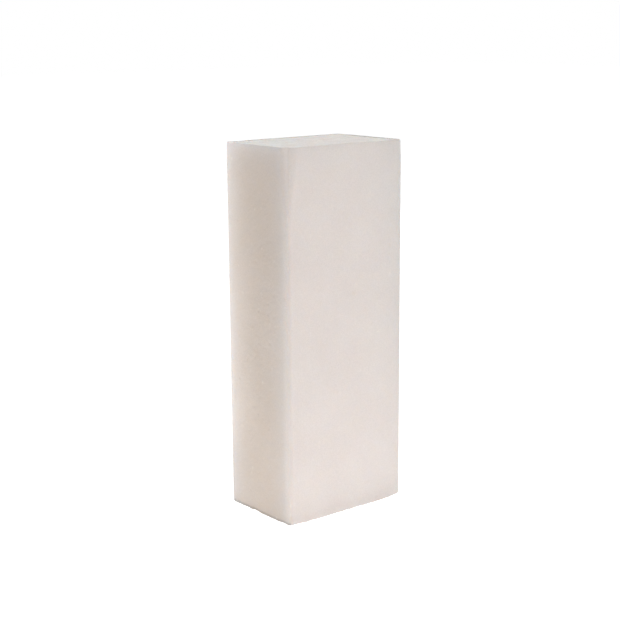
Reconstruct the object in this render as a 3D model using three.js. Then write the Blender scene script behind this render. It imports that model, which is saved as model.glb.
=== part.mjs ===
// Nail buffer block: a bar of closed-cell foam with an abrasive sheet stuck on each long side.
// Millimetres. The origin is the centre of the lower end, +Z runs up the length of the bar,
// X is its width and Y its thickness. The wide sides face -Y and +Y, the narrow sides -X and +X.
//
// Each abrasive sheet is three layers: a pressure-sensitive film on the foam, a backing paper and
// a coat of grain in resin. A sheet wraps round half of each rounded long edge and meets the next
// sheet in the middle of the edge. Both small ends are cut square and leave the foam bare.

import * as THREE from "three";

const LENGTH = 95;
const WIDTH = 37.4;
const THICKNESS = 25.4;
const EDGE_RADIUS = 1.2;
const ADHESIVE_THICKNESS = 0.1;
const PAPER_THICKNESS = 0.25;
const GRIT_THICKNESS = 0.25;
const HALF_EDGE_STEPS = 6;

const PAPER_DEPTH = GRIT_THICKNESS;
const ADHESIVE_DEPTH = PAPER_DEPTH + PAPER_THICKNESS;
const FOAM_DEPTH = ADHESIVE_DEPTH + ADHESIVE_THICKNESS;

// The sides in turn round the bar, each with the angle that its face looks along.
const SIDES = [
  { name: "right", facing: 0 },
  { name: "back", facing: Math.PI / 2 },
  { name: "left", facing: Math.PI },
  { name: "front", facing: (3 * Math.PI) / 2 },
];

// The layers of a sheet from the outside in, each between two depths below the outer surface.
const LAYERS = [
  { name: "grit_coat", outer: 0, inner: PAPER_DEPTH, color: 0xe6ddd7, roughness: 0.95 },
  { name: "backing_paper", outer: PAPER_DEPTH, inner: ADHESIVE_DEPTH, color: 0xe9e2d6, roughness: 0.9 },
  { name: "adhesive_film", outer: ADHESIVE_DEPTH, inner: FOAM_DEPTH, color: 0xded9cc, roughness: 0.5 },
];

// A point of the rounded outline at some depth below the outer surface. All depths share the
// centres of the four rounded edges, so layers are of even thickness round an edge too.
function outlinePoint(angle, edgeX, edgeY, depth) {
  const radius = EDGE_RADIUS - depth;
  const centreX = edgeX * (WIDTH / 2 - EDGE_RADIUS);
  const centreY = edgeY * (THICKNESS / 2 - EDGE_RADIUS);
  return new THREE.Vector2(centreX + radius * Math.cos(angle), centreY + radius * Math.sin(angle));
}

// One side's stretch of the outline, anticlockwise: the second half of the edge before it, its
// flat, and the first half of the edge after it.
function sideOutline(facing, depth) {
  const halfEdge = Math.PI / 4;
  const points = [];
  for (const turn of [-halfEdge, halfEdge]) {
    const edgeX = Math.sign(Math.cos(facing + turn));
    const edgeY = Math.sign(Math.sin(facing + turn));
    for (let step = 0; step <= HALF_EDGE_STEPS; step += 1) {
      const share = step / HALF_EDGE_STEPS;
      const angle = facing + (turn < 0 ? turn * (1 - share) : turn * share);
      points.push(outlinePoint(angle, edgeX, edgeY, depth));
    }
  }
  return points;
}

function upright(outline) {
  return new THREE.ExtrudeGeometry(new THREE.Shape(outline), { depth: LENGTH, bevelEnabled: false });
}

function piece(name, geometry, color, roughness) {
  const material = new THREE.MeshStandardMaterial({ color, roughness, metalness: 0 });
  const mesh = new THREE.Mesh(geometry, material);
  mesh.name = name;
  return mesh;
}

// The foam fills everything inside the four sheets. Neighbouring sides share their end points,
// so each side gives all but its last point.
function foamCore() {
  const outline = SIDES.flatMap((side) => sideOutline(side.facing, FOAM_DEPTH).slice(0, -1));
  return piece("foam_core", upright(outline), 0xece7e0, 0.9);
}

function sheetLayer(side, layer) {
  const outside = sideOutline(side.facing, layer.outer);
  const inside = sideOutline(side.facing, layer.inner).reverse();
  const geometry = upright([...outside, ...inside]);
  return piece(`${layer.name}_${side.name}`, geometry, layer.color, layer.roughness);
}

function abrasiveSheet(side) {
  const sheet = new THREE.Group();
  for (const layer of LAYERS) {
    sheet.add(sheetLayer(side, layer));
  }
  return sheet;
}

const block = new THREE.Group();
block.add(foamCore());
for (const side of SIDES) {
  block.add(abrasiveSheet(side));
}

export default block;
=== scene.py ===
import math

import bpy
import numpy as np
from mathutils import Matrix, Vector


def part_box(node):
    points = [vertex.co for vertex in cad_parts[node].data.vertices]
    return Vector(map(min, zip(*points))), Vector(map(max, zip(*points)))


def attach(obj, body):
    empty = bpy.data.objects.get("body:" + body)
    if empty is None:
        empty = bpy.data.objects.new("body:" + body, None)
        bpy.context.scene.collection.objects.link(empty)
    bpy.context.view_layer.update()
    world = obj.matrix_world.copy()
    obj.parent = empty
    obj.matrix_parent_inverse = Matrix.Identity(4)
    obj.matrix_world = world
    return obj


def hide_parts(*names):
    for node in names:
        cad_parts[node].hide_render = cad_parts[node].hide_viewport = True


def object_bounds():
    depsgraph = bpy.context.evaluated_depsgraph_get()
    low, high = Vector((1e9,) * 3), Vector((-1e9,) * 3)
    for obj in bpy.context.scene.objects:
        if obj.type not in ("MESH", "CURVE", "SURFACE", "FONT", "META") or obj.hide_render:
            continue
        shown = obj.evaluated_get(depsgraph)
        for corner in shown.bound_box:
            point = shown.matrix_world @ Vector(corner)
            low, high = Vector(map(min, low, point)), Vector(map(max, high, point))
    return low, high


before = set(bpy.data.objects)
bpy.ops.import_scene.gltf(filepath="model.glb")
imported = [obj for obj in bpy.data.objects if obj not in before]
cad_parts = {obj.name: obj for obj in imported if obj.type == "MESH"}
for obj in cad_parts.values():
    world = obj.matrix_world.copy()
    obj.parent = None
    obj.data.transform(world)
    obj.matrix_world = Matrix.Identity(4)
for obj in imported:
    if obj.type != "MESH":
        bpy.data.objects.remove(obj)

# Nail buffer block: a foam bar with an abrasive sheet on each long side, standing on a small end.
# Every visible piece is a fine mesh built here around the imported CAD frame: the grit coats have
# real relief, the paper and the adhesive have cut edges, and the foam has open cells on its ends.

MM = 0.001
CAD_LOW, CAD_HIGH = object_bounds()

# Sizes read from the CAD nodes. The block stands on z = 0, centred on x = y = 0.
HALF_WIDTH = (CAD_HIGH.x - CAD_LOW.x) / 2
HALF_THICKNESS = (CAD_HIGH.y - CAD_LOW.y) / 2
LENGTH = CAD_HIGH.z - CAD_LOW.z
BLOCK_CENTRE = (CAD_LOW + CAD_HIGH) / 2
PAPER_DEPTH = HALF_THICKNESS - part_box("backing_paper_back")[1].y
ADHESIVE_DEPTH = HALF_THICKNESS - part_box("adhesive_film_back")[1].y
FOAM_DEPTH = HALF_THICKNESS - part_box("foam_core")[1].y
EDGE_RADIUS = (HALF_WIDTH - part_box("grit_coat_back")[1].x) / (1 - math.cos(math.pi / 4))

# Each side: its name, the direction that it faces, and the direction that runs along its width
# so that the width, the length and the outward direction make a right-handed set.
SIDES = {
    "front": ((0, -1), (1, 0)),
    "right": ((1, 0), (0, 1)),
    "back": ((0, 1), (-1, 0)),
    "left": ((-1, 0), (0, -1)),
}
WIDE_SIDES = ("front", "back")

# How much wider the rounding of each long edge grows at its lower and its upper corner, and how far
# along the edge the extra wear reaches. The keys are the signs of the edge's X and Y.
CORNER_WEAR = {
    (-1, -1): ((0.05 * MM, 6 * MM), (2.4 * MM, 20 * MM)),
    (1, -1): ((0.15 * MM, 5 * MM), (0.3 * MM, 6 * MM)),
    (1, 1): ((0.2 * MM, 5 * MM), (0.3 * MM, 6 * MM)),
    (-1, 1): ((0.05 * MM, 5 * MM), (0.2 * MM, 6 * MM)),
}
# The lower end rises a little at one worn corner.
WORN_CORNER = (1, -1)
WORN_CORNER_LIFT = 0.35 * MM
WORN_CORNER_REACH = 4 * MM
# The sheets roll inwards by this much beside the two cut ends.
END_ROLL = 0.06 * MM
END_ROLL_REACH = 1.2 * MM

# Where grain has chipped off the front left edge, as heights above the lower end.
FRONT_EDGE_CHIPS = [height * MM for height in (3, 5.5, 50, 66, 78)]
# The other long edges have chips at random heights.
CHIPS_PER_EDGE = 5
CHIP_DEPTH = 0.06 * MM
CHIP_WIDTHS_MM, CHIP_HEIGHTS_MM = (0.15, 0.3), (0.3, 0.8)
# Where a chip's rim starts and ends, as a share of its size.
CHIP_RIM = (0.6, 1.3)
# Painted light: the coats are painted paler along the front left edge, as light on the rounded edge:
# how strongly and how far in, by side.
FRONT_EDGE_PAINTED_LIGHT = {"left": (0.55, 2.0 * MM), "front": (0.45, 0.7 * MM)}
NO_FRONT_EDGE_PAINTED_LIGHT = (0.0, MM)
# The coats' relief fades out towards the long edges, where neighbouring coats meet.
SEAM_REACH = 0.7 * MM
# The lower ends of the sheets are cut less cleanly than the upper ends. Each cut waves, has a
# share of finer teeth, and is frayed a little more in each hidden layer.
LOWER_CUT_RAGGED = 0.12 * MM
UPPER_CUT_RAGGED = 0.025 * MM
CUT_WAVE = 1.8 * MM
CUT_TEETH = 0.3
CUT_REACH = 1.5 * MM
FRAY = 0.03 * MM
# The coats' relief: fine grain, and wider waves as cell and height.
FINE_RELIEF = 0.006 * MM
RELIEF_WAVES = (
    (0.35 * MM, 0.006 * MM),
    (1.5 * MM, 0.010 * MM),
    (8 * MM, 0.030 * MM),
)
# Coarse grains that stand out of the coat and pits where one is missing, per square millimetre.
COARSE_GRAINS = 0.02
COARSE_GRAIN_HEIGHT = 0.07 * MM
COARSE_GRAIN_WIDTHS_MM = (0.2, 0.35)
COARSE_GRAIN_STRETCH = 1.5
# How strongly coarse grains are painted paler and pits darker in the coat's colour: painted light on
# the grains, painted shade in the pits.
COARSE_GRAIN_PAINTED_TONE = 0.2

# How far the coat's colour goes over to the edge colour, painted as a pale glow on the narrow sides and
# as shade on the wide sides: beside the long edges, at the lower and at the upper end of the edge, and
# under the upper end.
NARROW_PAINTED_GLOW, WIDE_PAINTED_EDGE_SHADE = (0.9, 0.9), (0.1, 0.9)
NARROW_PAINTED_GLOW_REACH, WIDE_PAINTED_EDGE_SHADE_REACH = 3.4 * MM, 6 * MM
# The rounded far edge of a wide side goes further over to the edge colour, as more painted shade.
RIM_PAINTED_SHADE = 0.4
RIM_PAINTED_SHADE_REACH = 1.2 * MM
TOP_PAINTED_GLOW_NARROW, TOP_PAINTED_SHADE_WIDE = 0.8, 0.35
TOP_PAINTED_GLOW_REACH_NARROW, TOP_PAINTED_SHADE_REACH_WIDE = 2.2 * MM, 8 * MM
# Painted shade: how much darker the coat is along its lower and its upper cut, on narrow and on wide
# sides. The lower one is where the coat meets the floor.
PAINTED_CUT_SHADE_NARROW = (0.85, 0.0)
PAINTED_CUT_SHADE_WIDE = (0.03, 0.05)
PAINTED_CUT_SHADE_REACH = 0.8 * MM

# The foam's cut cells: their sizes, how far from a wall a cell starts and ends to deepen, how deep the
# small, the large and the burst cells are, and how far the cut lies inside the block's end. Deeper
# cells are painted darker, as painted shade in the hollows, and the wall behind the sheets gets the
# painted shade of a middling cell.
LARGE_CELL = 1.0 * MM
SMALL_CELL = 0.5 * MM
CELL_WALL = (0.02, 0.35)
SMALL_PIT, LARGE_PIT, BURST_PIT = 0.4, 0.35, 0.25
PIT_DEPTH = 0.08 * MM
FOAM_SINK = 0.08 * MM
FOAM_UNEVEN, FOAM_WAVE = 0.02 * MM, 4 * MM
WALL_PAINTED_PIT_SHADE = 0.5

# Steps of the meshes: the coats' relief and the foam's cut ends are fine, hidden faces are coarse.
GRAIN_GRID = 0.2 * MM
FOAM_GRID = 0.16 * MM
COAT_BACK_STEP = 0.5 * MM
UNDER_LAYER_STEP = 0.25 * MM
HIDDEN_HEIGHT_STEP = 2 * MM
FOAM_HEIGHT_STEP = 4 * MM
SHEET_SMOOTH_ANGLE = math.radians(60)
FOAM_SMOOTH_ANGLE = math.radians(50)

# Seeds of the random numbers: the foam's, and the first sheet's.
FOAM_SEED, SHEET_SEED = 7, 100

# Colours. A coat's are its deeper and its paler cloud and the tone along its edges. The narrow coat's
# cloud tones are a darker, warmer copy of the wide coat's, as painted shade; the edge tones are a
# painted glow on the narrow sides and painted shade on the wide sides.
WIDE_TONES = ((0.795, 0.725, 0.69), (0.815, 0.75, 0.715), (0.70, 0.675, 0.65))
NARROW_SHADED_TONES = ((0.68, 0.59, 0.515), (0.705, 0.615, 0.545), (0.832, 0.797, 0.785))
# Pale tone of the painted light along the front left edge.
FRONT_EDGE_PAINTED_LIGHT_TONE = (0.90, 0.81, 0.75)
# Pale tone of chips, also used for painted glints and for the painted light on coarse grains.
CHIPPED_TONE = (0.93, 0.87, 0.81)
PAPER_TONES = ((0.80, 0.765, 0.70), (0.87, 0.84, 0.78))
ADHESIVE_TONES = ((0.82, 0.78, 0.71), (0.87, 0.84, 0.78))
FOAM_TONES = ((0.885, 0.825, 0.78), (0.93, 0.87, 0.83))


# ---------------------------------------------------------------- noise

def spline_weights(coords, cell):
    """Cubic B-spline weights of the lattice values around each coordinate, one row each."""
    t = (coords - coords.min()) / cell
    first = np.floor(t).astype(int)
    f = t - first
    weights = np.zeros((len(t), first.max() + 4))
    parts = ((1 - f) ** 3, 3 * f**3 - 6 * f**2 + 4, -3 * f**3 + 3 * f**2 + 3 * f + 1, f**3)
    for step, part in enumerate(parts):
        weights[np.arange(len(t)), first + step] = part / 6
    return weights


def smooth_noise(rows, columns, cell, rng):
    """Smooth noise of unit spread over a grid, with bumps about two cells across."""
    up, across = spline_weights(rows, cell), spline_weights(columns, cell)
    field = up @ rng.standard_normal((up.shape[1], across.shape[1])) @ across.T
    return field / field.std()


def smooth_step(x, low, high):
    """From 0 at low to 1 at high, with level ends."""
    t = np.clip((x - low) / (high - low), 0, 1)
    return t * t * (3 - 2 * t)


def cell_walls(x, y, cell, rng):
    """How far each point is from the nearest wall between foam cells, as a share of a cell."""
    column, row = np.floor(x / cell).astype(int), np.floor(y / cell).astype(int)
    column -= column.min() - 1
    row -= row.min() - 1
    jitter = rng.random((row.max() + 2, column.max() + 2, 2))
    fx, fy = x / cell - np.floor(x / cell), y / cell - np.floor(y / cell)
    nearest = np.full(x.shape, np.inf)
    second = np.full(x.shape, np.inf)
    for down in (-1, 0, 1):
        for along in (-1, 0, 1):
            seed = jitter[row + down, column + along]
            distance = np.hypot(along + seed[..., 0] - fx, down + seed[..., 1] - fy)
            second = np.minimum(second, np.maximum(nearest, distance))
            nearest = np.minimum(nearest, distance)
    return second - nearest


# ---------------------------------------------------------------- the outline

def edge_radius(z, signs):
    """The rounding of one long edge at height z: wider near the block's ends."""
    (low, low_reach), (high, high_reach) = CORNER_WEAR[signs]
    below = 1 - smooth_step(z, 0, low_reach)
    above = smooth_step(z, LENGTH - high_reach, LENGTH)
    return EDGE_RADIUS + low * below + high * above


def end_roll(z):
    """How far the sheets roll inwards beside the two cut ends."""
    to_end = np.minimum(z, LENGTH - z)
    return END_ROLL * (1 - smooth_step(to_end, 0, END_ROLL_REACH)) ** 2


def corner_lift(x, y, z):
    """How much higher a point lies because the lower end is worn at one corner."""
    sign_x, sign_y = WORN_CORNER
    to_corner = np.hypot(HALF_WIDTH - sign_x * x, HALF_THICKNESS - sign_y * y)
    near = 1 - smooth_step(to_corner, 0, WORN_CORNER_REACH)
    return WORN_CORNER_LIFT * near * (1 - smooth_step(z, 0, WORN_CORNER_REACH))


def rounded(x, y, z, depth):
    """Moves points of a square-cornered block, depth below its surface, on to the rounded one.
    Gives the new x, y and z and the outward direction there."""
    half_x, half_y = HALF_WIDTH - depth, HALF_THICKNESS - depth
    new_x, new_y = x.copy(), y.copy()
    out_x, out_y = np.zeros_like(x), np.zeros_like(x)
    on_x = np.abs(np.abs(x) - half_x) < 1e-9
    out_x[on_x] = np.sign(x[on_x])
    on_y = (np.abs(np.abs(y) - half_y) < 1e-9) & ~on_x
    out_y[on_y] = np.sign(y[on_y])
    for signs in CORNER_WEAR:
        sign_x, sign_y = signs
        radius = edge_radius(z, signs) - depth
        from_x = x * sign_x - (half_x - radius)
        from_y = y * sign_y - (half_y - radius)
        reach = np.hypot(np.maximum(from_x, 0), np.maximum(from_y, 0))
        outside = (from_x > 0) & (from_y > 0)
        edge = outside & (reach > radius)
        share = radius[edge] / reach[edge]
        new_x[edge] = sign_x * (half_x - radius[edge] + from_x[edge] * share)
        new_y[edge] = sign_y * (half_y - radius[edge] + from_y[edge] * share)
        on_edge = outside & (on_x | on_y)
        out_x[on_edge] = sign_x * from_x[on_edge] / reach[on_edge]
        out_y[on_edge] = sign_y * from_y[on_edge] / reach[on_edge]
    roll = end_roll(z)
    new_x, new_y = new_x * (1 - roll / HALF_WIDTH), new_y * (1 - roll / HALF_THICKNESS)
    return new_x, new_y, z + corner_lift(new_x, new_y, z), out_x, out_y


# ---------------------------------------------------------------- meshes

def grid_faces(index, flip=False):
    """Quads over a grid of vertex numbers."""
    quads = np.stack([index[:-1, :-1], index[:-1, 1:], index[1:, 1:], index[1:, :-1]], axis=-1)
    quads = quads.reshape(-1, 4)
    return quads[:, ::-1] if flip else quads


def zipped(first, second, flip=False):
    """Triangles that join two runs of vertex numbers that lie side by side."""
    triangles = []
    i = j = 0
    while i < len(first) - 1 or j < len(second) - 1:
        next_first = (i + 1) / max(len(first) - 1, 1)
        next_second = (j + 1) / max(len(second) - 1, 1)
        if j == len(second) - 1 or (i < len(first) - 1 and next_first <= next_second):
            triangles.append((first[i], first[i + 1], second[j]))
            i += 1
        else:
            triangles.append((first[i], second[j + 1], second[j]))
            j += 1
    triangles = np.array(triangles)
    return triangles[:, ::-1] if flip else triangles


def new_piece(name, vertices, faces, nodes, material, smooth_angle):
    """A mesh that shows in place of CAD nodes."""
    mesh = bpy.data.meshes.new(name)
    mesh.from_pydata(vertices.reshape(-1, 3).tolist(), [], [f for part in faces for f in part.tolist()])
    mesh.polygons.foreach_set("use_smooth", np.ones(len(mesh.polygons), bool))
    mesh.set_sharp_from_angle(angle=smooth_angle)
    mesh.materials.append(material)
    mesh.update()
    piece = bpy.data.objects.new(name, mesh)
    bpy.context.scene.collection.objects.link(piece)
    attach(piece, "root")
    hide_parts(*nodes)
    return piece


def add_field(piece, name, values):
    """Stores a number at each vertex, for the material to read."""
    field = piece.data.attributes.new(name, "FLOAT", "POINT")
    field.data.foreach_set("value", values.astype(np.float32).ravel())


# ---------------------------------------------------------------- materials

class Shader:
    """Writes the nodes of one material."""

    def __init__(self, name):
        self.material = bpy.data.materials.new(name)
        self.material.use_nodes = True
        self.tree = self.material.node_tree
        self.surface = self.tree.nodes["Principled BSDF"]
        self.place = self.node("ShaderNodeTexCoord").outputs["Object"]

    def node(self, kind, **settings):
        made = self.tree.nodes.new(kind)
        for key, value in settings.items():
            setattr(made, key, value)
        return made

    def link(self, source, target):
        self.tree.links.new(source, target)

    def noise(self, per_mm, detail=2.0, roughness=0.5):
        made = self.node("ShaderNodeTexNoise")
        self.link(self.place, made.inputs["Vector"])
        made.inputs["Scale"].default_value = per_mm / MM
        made.inputs["Detail"].default_value = detail
        made.inputs["Roughness"].default_value = roughness
        return made.outputs["Fac"]

    def cells(self, per_mm, output="Distance", feature="F1"):
        made = self.node("ShaderNodeTexVoronoi", feature=feature)
        self.link(self.place, made.inputs["Vector"])
        made.inputs["Scale"].default_value = per_mm / MM
        return made.outputs[output]

    def attribute(self, name):
        return self.node("ShaderNodeAttribute", attribute_name=name).outputs["Fac"]

    def spread(self, value, low, high, to_low=0.0, to_high=1.0):
        made = self.node("ShaderNodeMapRange", interpolation_type="SMOOTHSTEP")
        self.link(value, made.inputs["Value"])
        made.inputs["From Min"].default_value = low
        made.inputs["From Max"].default_value = high
        made.inputs["To Min"].default_value = to_low
        made.inputs["To Max"].default_value = to_high
        return made.outputs["Result"]

    def maths(self, operation, first, second):
        made = self.node("ShaderNodeMath", operation=operation)
        for value, socket in zip((first, second), made.inputs):
            if isinstance(value, float):
                socket.default_value = value
            else:
                self.link(value, socket)
        return made.outputs[0]

    def vector(self, operation, first, second=None, output="Vector"):
        made = self.node("ShaderNodeVectorMath", operation=operation)
        for value, socket in zip((first, second), made.inputs):
            if isinstance(value, tuple):
                socket.default_value = value
            elif value is not None:
                self.link(value, socket)
        return made.outputs[output]

    def mix(self, share, first, second):
        made = self.node("ShaderNodeMix", data_type="RGBA")
        self.link(share, made.inputs[0])
        for value, socket in zip((first, second), (made.inputs[6], made.inputs[7])):
            if isinstance(value, tuple):
                socket.default_value = (*value, 1.0)
            else:
                self.link(value, socket)
        return made.outputs[2]

    def tint(self, colour, shade):
        """The colour times a shade, which may be above 1."""
        made = self.node("ShaderNodeVectorMath", operation="SCALE")
        self.link(colour, made.inputs[0])
        self.link(shade, made.inputs["Scale"])
        return made.outputs[0]

    def bump(self, height, distance_mm, strength, below=None):
        made = self.node("ShaderNodeBump")
        made.inputs["Strength"].default_value = strength
        made.inputs["Distance"].default_value = distance_mm * MM
        self.link(height, made.inputs["Height"])
        if below is not None:
            self.link(below, made.inputs["Normal"])
        return made.outputs["Normal"]

    def scatter(self, weight, radius_mm, scale):
        self.surface.inputs["Subsurface Weight"].default_value = weight
        self.surface.inputs["Subsurface Radius"].default_value = radius_mm
        self.surface.inputs["Subsurface Scale"].default_value = scale


def grit_material(name, deep, pale, painted_edge_tone):
    """Fine abrasive grain in a matt resin. Each grain has its own shade and the resin between grains is
    deeper. Along its edges the coat goes over to the given edge tone, which paints a pale glow on the
    narrow sides and shade on the wide sides. The coat is painted paler along the front left edge as
    painted light and has white specks as painted glints. It is pale where grain has chipped off and on
    coarse grains, which is painted light. Along its cuts and in pits it is darker, as painted shade."""
    s = Shader(name)
    cloud = s.mix(s.spread(s.noise(0.07, 4.0), 0.3, 0.7), deep, pale)
    # Painted glow on the narrow sides and painted shade on the wide sides: the coat goes over to the
    # edge tone.
    edge_painted_coat = s.mix(s.attribute("edge"), cloud, painted_edge_tone)
    # Painted light: paler along the front left edge.
    front_edge_lit_coat = s.mix(s.attribute("front_edge_painted_light"), edge_painted_coat, FRONT_EDGE_PAINTED_LIGHT_TONE)
    grain_shade = s.spread(s.cells(4.5, "Color"), 0.0, 1.0, 0.97, 1.026)
    gap_shade = s.spread(s.cells(4.5, feature="DISTANCE_TO_EDGE"), 0.0, 0.12, 0.975, 1.0)
    shaded = s.tint(front_edge_lit_coat, s.maths("MULTIPLY", grain_shade, gap_shade))
    # Painted glints: a few white specks.
    painted_glints = s.spread(s.cells(2.6, "Color"), 0.985, 0.995, 0.0, 0.7)
    # Chips are paler; coarse grains are painted paler too, as painted light.
    chipped = s.mix(s.maths("MAXIMUM", s.attribute("chip_and_grain_light"), painted_glints), shaded, CHIPPED_TONE)
    # Painted shade: darker along the cuts and in the pits.
    shaded_at_cuts = s.tint(chipped, s.spread(s.attribute("cut"), 0.0, 1.0, 1.0, 0.6))
    s.link(shaded_at_cuts, s.surface.inputs["Base Color"])
    s.link(s.spread(s.cells(6.0, "Color"), 0.93, 1.0, 0.93, 0.45), s.surface.inputs["Roughness"])
    grains = s.bump(s.cells(4.5), 0.04, 0.16)
    s.link(s.bump(s.noise(9.0, 3.0, 0.6), 0.03, 0.17, grains), s.surface.inputs["Normal"])
    s.surface.inputs["Specular IOR Level"].default_value = 0.3
    s.scatter(1.0, (1.0, 0.85, 0.7), 0.1 * MM)
    return s.material


def paper_material():
    s = Shader("backing_paper_cream")
    fibres = s.spread(s.noise(4.0, 4.0), 0.35, 0.7)
    s.link(s.mix(fibres, *PAPER_TONES), s.surface.inputs["Base Color"])
    s.link(s.bump(s.noise(9.0, 3.0), 0.03, 0.5), s.surface.inputs["Normal"])
    s.surface.inputs["Roughness"].default_value = 0.9
    return s.material


def adhesive_material():
    s = Shader("adhesive_amber")
    streaks = s.spread(s.noise(2.0, 2.0), 0.35, 0.7)
    s.link(s.mix(streaks, *ADHESIVE_TONES), s.surface.inputs["Base Color"])
    s.link(s.bump(s.noise(5.0, 2.0), 0.02, 0.4), s.surface.inputs["Normal"])
    s.surface.inputs["Roughness"].default_value = 0.45
    return s.material


def foam_material():
    """White closed-cell foam. The cut cells are painted a little darker than their walls, as painted
    shade in the hollows.
    """
    s = Shader("foam_white")
    cloud = s.mix(s.spread(s.noise(0.2, 3.0), 0.35, 0.65), *FOAM_TONES)
    shaded = s.tint(cloud, s.spread(s.attribute("painted_pit_shade"), 0.1, 1.0, 1.05, 0.9))
    s.link(shaded, s.surface.inputs["Base Color"])
    s.link(s.bump(s.cells(6.0), 0.03, 0.4), s.surface.inputs["Normal"])
    s.surface.inputs["Roughness"].default_value = 0.85
    s.surface.inputs["Specular IOR Level"].default_value = 0.3
    s.scatter(1.0, (1.0, 0.8, 0.65), 0.25 * MM)
    return s.material


# ---------------------------------------------------------------- pieces

def side_points(side, across, z, depth):
    """Points of one side at some depth, from rows of heights and columns of distances across it."""
    (face_x, face_y), (along_x, along_y) = SIDES[side]
    out = (HALF_WIDTH if face_x else HALF_THICKNESS) - depth
    grid_u, grid_z = np.meshgrid(across, z)
    x = face_x * out + along_x * grid_u
    y = face_y * out + along_y * grid_u
    x, y, new_z, out_x, out_y = rounded(x, y, grid_z, depth)
    return np.stack([x, y, new_z], axis=-1), np.stack([out_x, out_y, np.zeros_like(out_x)], axis=-1)


def half_across(side, depth):
    """Half the width of a square-cornered side, corner to corner."""
    return (HALF_WIDTH if SIDES[side][0][1] else HALF_THICKNESS) - depth


def evenly(low, high, step):
    """Values from low to high, about a step apart."""
    return np.linspace(low, high, max(int(round((high - low) / step)), 1) + 1)


def closed_sheet(outer, inner):
    """A closed sheet between a fine outer grid of points and a coarse inner one."""
    outer_index = np.arange(outer.shape[0] * outer.shape[1]).reshape(outer.shape[:2])
    inner_index = outer_index.size + np.arange(inner.shape[0] * inner.shape[1]).reshape(inner.shape[:2])
    faces = [
        grid_faces(outer_index),
        grid_faces(inner_index, flip=True),
        zipped(outer_index[0], inner_index[0], flip=True),
        zipped(outer_index[-1], inner_index[-1]),
        zipped(outer_index[:, 0], inner_index[:, 0]),
        zipped(outer_index[:, -1], inner_index[:, -1], flip=True),
    ]
    vertices = np.concatenate([outer.reshape(-1, 3), inner.reshape(-1, 3)])
    return vertices, faces


def chips(side, across, z, rng):
    """Spots along a sheet's two long edges where grain has chipped off, from 0 to 1."""
    spots = np.zeros((len(z), len(across)))
    for end in (0, -1):
        shared = (side == "front" and end == 0) or (side == "left" and end == -1)
        heights = FRONT_EDGE_CHIPS if shared else rng.random(CHIPS_PER_EDGE) * LENGTH
        for height in heights:
            wide, tall = rng.uniform(*CHIP_WIDTHS_MM) * MM, rng.uniform(*CHIP_HEIGHTS_MM) * MM
            from_edge = (across - across[end])[None, :] / wide
            from_height = (z - height)[:, None] / tall
            spots = np.maximum(spots, 1 - smooth_step(np.hypot(from_edge, from_height), *CHIP_RIM))
    return spots


def front_edge_painted_light(side, across, z):
    """How far the coat is painted paler along the front left edge, as painted light, from 0 to 1."""
    strength, reach = FRONT_EDGE_PAINTED_LIGHT.get(side, NO_FRONT_EDGE_PAINTED_LIGHT)
    edge = across[-1] if side == "left" else across[0]
    return np.ones(len(z))[:, None] * strength * np.exp(-(((across - edge) / reach) ** 2))


def painted_edge_glow_and_shade(side, across, z):
    """How much of the edge colour the coat shows, from 0 to 1: under the upper end, and along the far
    long edge of a wide side or both long edges of a narrow side. On a wide side the edge colour is
    painted shade, on a narrow side a painted pale glow."""
    wide = side in WIDE_SIDES
    edge_paint, reach = (WIDE_PAINTED_EDGE_SHADE, WIDE_PAINTED_EDGE_SHADE_REACH) if wide else (NARROW_PAINTED_GLOW, NARROW_PAINTED_GLOW_REACH)
    top_paint = TOP_PAINTED_SHADE_WIDE if wide else TOP_PAINTED_GLOW_NARROW
    top_paint_reach = TOP_PAINTED_SHADE_REACH_WIDE if wide else TOP_PAINTED_GLOW_REACH_NARROW
    to_edge = across[-1] - (across if wide else np.abs(across))
    edge_paint_at_height = np.interp(z, (0, LENGTH), edge_paint)[:, None]
    beside_edge = edge_paint_at_height * np.exp(-to_edge / reach)[None, :]
    if wide:
        rim = RIM_PAINTED_SHADE * np.exp(-((to_edge / RIM_PAINTED_SHADE_REACH) ** 2))
        beside_edge = 1 - (1 - beside_edge) * (1 - rim)
    under_top = top_paint * np.exp(-(LENGTH - z) / top_paint_reach)[:, None]
    return 1 - (1 - beside_edge) * (1 - under_top)


def painted_cut_shade(side, across, z):
    """How much painted shade darkens the coat along its cuts, most along the lower cut where it meets
    the floor, from 0 to 1.
    """
    lower, upper = PAINTED_CUT_SHADE_WIDE if side in WIDE_SIDES else PAINTED_CUT_SHADE_NARROW
    shade = lower * np.exp(-((z / PAINTED_CUT_SHADE_REACH) ** 2))
    shade += upper * np.exp(-(((LENGTH - z) / PAINTED_CUT_SHADE_REACH) ** 2))
    return shade[:, None] * np.ones(len(across))


def cut_lines(side, rng):
    """The ragged lines along which a sheet was cut: points across it, and how far it stops short
    of the block's lower and upper end there."""
    half = half_across(side, 0)
    across = evenly(-half, half, GRAIN_GRID)
    lines = [across]
    for ragged in (LOWER_CUT_RAGGED, UPPER_CUT_RAGGED):
        wave = smooth_noise(across, np.zeros(1), CUT_WAVE, rng)[:, 0]
        teeth = CUT_TEETH * ragged * rng.standard_normal(len(across))
        lines.append(np.abs(ragged * wave + teeth))
    return lines


def trim(points, across, z, cuts):
    """Pulls a sheet's grid of points back from the block's ends to the ragged cuts."""
    at, lower, upper = cuts
    near_lower = 1 - smooth_step(z, 0, CUT_REACH)
    near_upper = smooth_step(z, LENGTH - CUT_REACH, LENGTH)
    points[..., 2] += near_lower[:, None] * np.interp(across, at, lower)
    points[..., 2] -= near_upper[:, None] * np.interp(across, at, upper)


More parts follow.
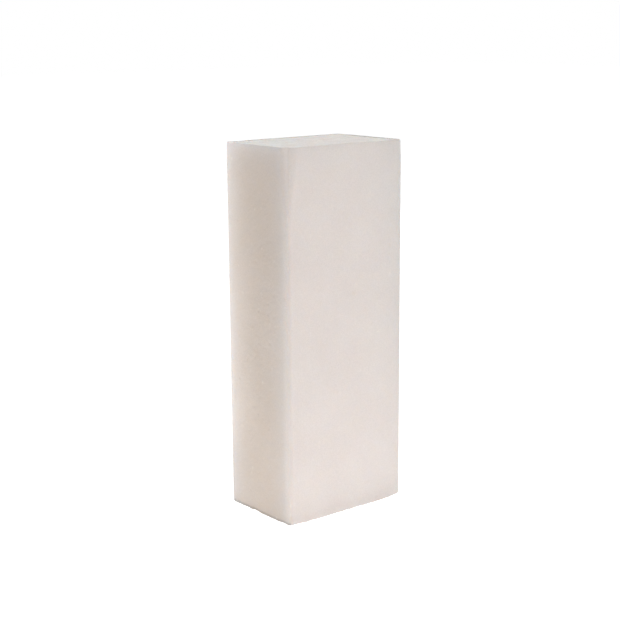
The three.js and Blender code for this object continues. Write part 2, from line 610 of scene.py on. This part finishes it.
def coarse_grains(across, z, rng):
    """Single coarse grains and pits, longer up the bar than across it, from -1 to 1."""
    grains = np.zeros((len(z), len(across)))
    count = int(COARSE_GRAINS * (across[-1] - across[0]) * LENGTH / MM**2)
    for _ in range(count):
        wide, sign = rng.uniform(*COARSE_GRAIN_WIDTHS_MM) * MM, rng.choice((-1.0, 1.0))
        u, height = rng.uniform(across[0], across[-1]), rng.uniform(0, LENGTH)
        tall = COARSE_GRAIN_STRETCH * wide
        from_grain = np.hypot((across - u)[None, :] / wide, (z - height)[:, None] / tall)
        grains += sign * np.exp(-(from_grain**2))
    return grains


def grit_coat(side, material, cuts, rng):
    """A side's coat of grain, with relief on its outer face."""
    half = half_across(side, 0)
    across = evenly(-half, half, GRAIN_GRID)
    z = evenly(0, LENGTH, GRAIN_GRID)
    outer, outward = side_points(side, across, z, 0)
    chipped = chips(side, across, z, rng)
    relief = FINE_RELIEF * rng.standard_normal(outer.shape[:2])
    for cell, height in RELIEF_WAVES:
        relief += height * smooth_noise(z, across, cell, rng)
    grains = coarse_grains(across, z, rng)
    relief += COARSE_GRAIN_HEIGHT * grains
    relief *= smooth_step(across[-1] - np.abs(across), 0, SEAM_REACH)
    relief -= CHIP_DEPTH * chipped
    outer = outer + outward * relief[..., None]
    trim(outer, across, z, cuts)
    inner_half = half_across(side, PAPER_DEPTH)
    inner_across = evenly(-inner_half, inner_half, COAT_BACK_STEP)
    inner_z = evenly(0, LENGTH, HIDDEN_HEIGHT_STEP)
    inner, _ = side_points(side, inner_across, inner_z, PAPER_DEPTH)
    trim(inner, inner_across, inner_z, cuts)
    vertices, faces = closed_sheet(outer, inner)
    name, node = f"abrasive_{side}", f"grit_coat_{side}"
    piece = new_piece(name, vertices, faces, [node], material, SHEET_SMOOTH_ANGLE)
    hidden = np.zeros(inner.shape[:2])
    fields = {
        # Chips, and coarse grains painted paler as painted light.
        "chip_and_grain_light": np.clip(chipped + COARSE_GRAIN_PAINTED_TONE * grains, 0, 1),
        # Painted glow on a narrow side, painted shade on a wide side.
        "edge": painted_edge_glow_and_shade(side, across, z),
        # Painted light along the front left edge.
        "front_edge_painted_light": front_edge_painted_light(side, across, z),
        # Painted shade along the cuts, and in the pits of missing coarse grains.
        "cut": np.clip(painted_cut_shade(side, across, z) - COARSE_GRAIN_PAINTED_TONE * grains, 0, 1),
    }
    for field, values in fields.items():
        add_field(piece, field, np.concatenate([values.ravel(), hidden.ravel()]))


def under_layer(side, layer, outer_depth, inner_depth, material, cuts, rng):
    """A side's backing paper or adhesive film, between two depths."""
    half = half_across(side, outer_depth)
    across = evenly(-half, half, UNDER_LAYER_STEP)
    z = evenly(0, LENGTH, HIDDEN_HEIGHT_STEP)
    outer, _ = side_points(side, across, z, outer_depth)
    inner_half = half_across(side, inner_depth)
    inner_across = np.linspace(-inner_half, inner_half, len(across))
    inner, _ = side_points(side, inner_across, z, inner_depth)
    trim(outer, across, z, cuts)
    trim(inner, inner_across, z, cuts)
    for end in (0, -1):
        short = FRAY * np.abs(rng.standard_normal(len(across)))
        outer[end, :, 2] += short if end == 0 else -short
        inner[end, :, 2] += short if end == 0 else -short
    vertices, faces = closed_sheet(outer, inner)
    name, node = f"{layer}_{side}_cut", f"{layer}_{side}"
    piece = new_piece(name, vertices, faces, [node], material, SHEET_SMOOTH_ANGLE)
    # Light that soaks through the sheet passes on to the foam, so this layer shows only its cut edges.
    piece.visible_diffuse = False
    piece.visible_transmission = False
    piece.visible_shadow = False


def border(index):
    """Vertex numbers round the rim of a grid, anticlockwise and closed."""
    return np.concatenate([index[0, :-1], index[:-1, -1], index[-1, :0:-1], index[::-1, 0]])


def foam_bar(material, rng):
    """The foam, with open cells on its two cut ends and a smooth wall behind the sheets."""
    half_x, half_y = HALF_WIDTH - FOAM_DEPTH, HALF_THICKNESS - FOAM_DEPTH
    x, y = np.meshgrid(evenly(-half_x, half_x, FOAM_GRID), evenly(-half_y, half_y, FOAM_GRID))
    ends = []
    pit_shade_fields = []
    for height, inward in ((0.0, 1), (LENGTH, -1)):
        z = np.full_like(x, height)
        end_x, end_y, end_z, _, _ = rounded(x, y, z, FOAM_DEPTH)
        large = smooth_step(cell_walls(x + half_x, y + half_y, LARGE_CELL, rng), *CELL_WALL)
        small = smooth_step(cell_walls(x + half_x, y + half_y, SMALL_CELL, rng), *CELL_WALL)
        burst = smooth_step(smooth_noise(y[:, 0], x[0], LARGE_CELL, rng), 0, 2)
        pits = SMALL_PIT * small + large * (LARGE_PIT + BURST_PIT * burst)
        pit_shade_fields.append(pits)
        uneven = FOAM_UNEVEN * smooth_noise(y[:, 0], x[0], FOAM_WAVE, rng)
        sunk = FOAM_SINK + PIT_DEPTH * pits + uneven
        ends.append(np.stack([end_x, end_y, end_z + inward * sunk], axis=-1))
    index = np.arange(x.size).reshape(x.shape)
    rim = border(index)
    lower, upper = index, index + x.size
    flat_x, flat_y = x.ravel()[rim], y.ravel()[rim]
    rings = []
    for z in evenly(0, LENGTH, FOAM_HEIGHT_STEP)[1:-1]:
        ring_x, ring_y, ring_z, _, _ = rounded(flat_x, flat_y, np.full_like(flat_x, z), FOAM_DEPTH)
        rings.append(np.stack([ring_x, ring_y, ring_z], axis=-1)[:-1])
    ring_points = np.concatenate(rings)
    per_ring = len(rim) - 1
    ring_index = 2 * x.size + np.arange(len(ring_points)).reshape(-1, per_ring)
    ring_index = np.concatenate([ring_index, ring_index[:, :1]], axis=1)
    wall = np.concatenate([[rim], ring_index, [rim + x.size]])
    vertices = np.concatenate([ends[0].reshape(-1, 3), ends[1].reshape(-1, 3), ring_points])
    faces = [grid_faces(lower, flip=True), grid_faces(upper), grid_faces(wall)]
    bar = new_piece("foam_bar", vertices, faces, ["foam_core"], material, FOAM_SMOOTH_ANGLE)
    wall_painted_pit_shade = np.full(len(ring_points), WALL_PAINTED_PIT_SHADE)
    # Painted shade: deeper cells are darker.
    add_field(bar, "painted_pit_shade", np.concatenate([pit_shade_fields[0].ravel(), pit_shade_fields[1].ravel(), wall_painted_pit_shade]))


# ---------------------------------------------------------------- stage

CAMERA_LENS = 76.45
CAMERA_AZIMUTH = math.radians(-38.77)
CAMERA_ELEVATION = math.radians(12.15)
CAMERA_ROLL = math.radians(-0.406)
CAMERA_DISTANCE = 342.5 * MM
CAMERA_RIGHT = -1.391 * MM
CAMERA_UP = 3.6 * MM
SENSOR_WIDTH = 36
CLIP_START, CLIP_END = 0.01, 20

WORLD_STRENGTH = 0.05
# The slim upright light for the glow along the narrow side, close behind the back left edge.
STRIP_WIDTH = 4 * MM
STRIP_LOW, STRIP_HIGH = 17 * MM, LENGTH + 15 * MM
STRIP_LEFT, STRIP_BEHIND = 8 * MM, 3 * MM
STRIP_POWER = 0.00169
STRIP_BACK = Vector((-1, 1, 0))
# The softboxes: name, azimuth and elevation in degrees, and power.
SOFTBOXES = (
    ("top_softbox", 0, 89, 1.75),
    ("front_softbox", 3, 25, 0.82),
    ("back_softbox", 165, 40, 0.6),
    ("right_softbox", 125, 30, 0.45),
)
SOFTBOX_DISTANCE, SOFTBOX_SIZE = 0.6, 0.4
FLOOR_HALF_SIZE = 3.0
FLOOR_GREY = 0.5
# Pools of brighter light on the floor beside the block: centre, reach and strength.
FLOOR_POOLS = (
    ((-70 * MM, 0), 90 * MM, 0.64),
    ((-28 * MM, 9 * MM), 28 * MM, 0.30),
    ((8 * MM, -52 * MM), 68 * MM, 0.51),
)
# The floor's glow is weaker close to the block.
CONTACT_REACH = 12 * MM
CONTACT_GLOW = 0.75


def outward_from_centre(azimuth, elevation):
    """The direction from the block's centre to a place seen at these angles in radians."""
    flat = math.cos(elevation)
    return Vector((math.sin(azimuth) * flat, -math.cos(azimuth) * flat, math.sin(elevation)))


def make_camera():
    data = bpy.data.cameras.new("camera")
    data.lens = CAMERA_LENS
    data.sensor_width = SENSOR_WIDTH
    data.clip_start = CLIP_START
    data.clip_end = CLIP_END
    camera = bpy.data.objects.new("camera", data)
    bpy.context.scene.collection.objects.link(camera)
    back = outward_from_centre(CAMERA_AZIMUTH, CAMERA_ELEVATION)
    level = Vector((math.cos(CAMERA_AZIMUTH), math.sin(CAMERA_AZIMUTH), 0))
    upward = back.cross(level)
    right = level * math.cos(CAMERA_ROLL) + upward * math.sin(CAMERA_ROLL)
    up = upward * math.cos(CAMERA_ROLL) - level * math.sin(CAMERA_ROLL)
    place = BLOCK_CENTRE + back * CAMERA_DISTANCE + right * CAMERA_RIGHT + up * CAMERA_UP
    turn = Matrix((right, up, back)).transposed().to_4x4()
    camera.matrix_world = Matrix.Translation(place) @ turn
    bpy.context.scene.camera = camera


def make_world():
    """A white room that is bright to look at and adds only a little light."""
    world = bpy.data.worlds.new("studio")
    bpy.context.scene.world = world
    world.use_nodes = True
    tree = world.node_tree
    background = tree.nodes["Background"]
    background.inputs["Color"].default_value = (1, 1, 1, 1)
    seen = tree.nodes.new("ShaderNodeLightPath").outputs["Is Camera Ray"]
    strength = tree.nodes.new("ShaderNodeMath")
    strength.operation = "MAXIMUM"
    tree.links.new(seen, strength.inputs[0])
    strength.inputs[1].default_value = WORLD_STRENGTH
    tree.links.new(strength.outputs[0], background.inputs["Strength"])


def floor_distance(s, centre, half_size=(0, 0)):
    """How far each point of the floor is from a rectangle on it, or from a point."""
    offset = s.vector("SUBTRACT", s.place, (*centre, 0))
    beyond = s.vector("SUBTRACT", s.vector("ABSOLUTE", offset), (*half_size, 0))
    return s.vector("LENGTH", s.vector("MAXIMUM", beyond, (0, 0, 0)), output="Value")


def make_floor():
    """A white floor that glows, as a brightly lit white table does in a photograph."""
    size = FLOOR_HALF_SIZE
    mesh = bpy.data.meshes.new("floor")
    corners = [(-size, -size, 0), (size, -size, 0), (size, size, 0), (-size, size, 0)]
    mesh.from_pydata(corners, [], [(0, 1, 2, 3)])
    floor = bpy.data.objects.new("floor", mesh)
    bpy.context.scene.collection.objects.link(floor)
    s = Shader("floor_white")
    s.surface.inputs["Base Color"].default_value = (FLOOR_GREY, FLOOR_GREY, FLOOR_GREY, 1)
    s.surface.inputs["Roughness"].default_value = 0.9
    s.surface.inputs["Specular IOR Level"].default_value = 0.0
    s.surface.inputs["Emission Color"].default_value = (1, 1, 1, 1)
    footprint = floor_distance(s, (0, 0), (HALF_WIDTH, HALF_THICKNESS))
    glow = s.spread(footprint, 0.0, CONTACT_REACH, CONTACT_GLOW, 1.0)
    for centre, reach, strength in FLOOR_POOLS:
        pool = s.spread(floor_distance(s, centre), 0.0, reach, strength, 0.0)
        glow = s.maths("ADD", glow, pool)
    s.link(glow, s.surface.inputs["Emission Strength"])
    mesh.materials.append(s.material)


def area_light(name, width, height, power, place, back):
    """A rectangular light at a place, shining away from the direction back. It isn't seen itself."""
    data = bpy.data.lights.new(name, "AREA")
    data.shape = "RECTANGLE"
    data.size, data.size_y = width, height
    data.energy = power
    light = bpy.data.objects.new(name, data)
    bpy.context.scene.collection.objects.link(light)
    light.location = place
    light.rotation_euler = back.to_track_quat("Z", "Y").to_euler()
    light.visible_camera = False


def make_lights():
    """Four softboxes round the block and the slim strip."""
    for name, azimuth, elevation, power in SOFTBOXES:
        back = outward_from_centre(math.radians(azimuth), math.radians(elevation))
        place = BLOCK_CENTRE + back * SOFTBOX_DISTANCE
        area_light(name, SOFTBOX_SIZE, SOFTBOX_SIZE, power, place, back)
    place = Vector((CAD_LOW.x - STRIP_LEFT, CAD_HIGH.y + STRIP_BEHIND, (STRIP_LOW + STRIP_HIGH) / 2))
    area_light("edge_strip", STRIP_WIDTH, STRIP_HIGH - STRIP_LOW, STRIP_POWER, place, STRIP_BACK)


# ---------------------------------------------------------------- the scene

scene = bpy.context.scene
scene.view_settings.view_transform = "Standard"
scene.view_settings.look = "None"

make_camera()
make_world()
make_floor()
make_lights()

wide_grit = grit_material("grit_wide", *WIDE_TONES)
# The narrow sides get a darker, warmer copy of the grit material: painted shade.
shaded_narrow_grit = grit_material("grit_narrow_painted_shade", *NARROW_SHADED_TONES)
paper, adhesive, foam = paper_material(), adhesive_material(), foam_material()
foam_bar(foam, np.random.default_rng(FOAM_SEED))
for number, side in enumerate(SIDES):
    rng = np.random.default_rng(SHEET_SEED + number)
    cuts = cut_lines(side, rng)
    grit_coat(side, wide_grit if side in WIDE_SIDES else shaded_narrow_grit, cuts, rng)
    under_layer(side, "backing_paper", PAPER_DEPTH, ADHESIVE_DEPTH, paper, cuts, rng)
    under_layer(side, "adhesive_film", ADHESIVE_DEPTH, FOAM_DEPTH, adhesive, cuts, rng)
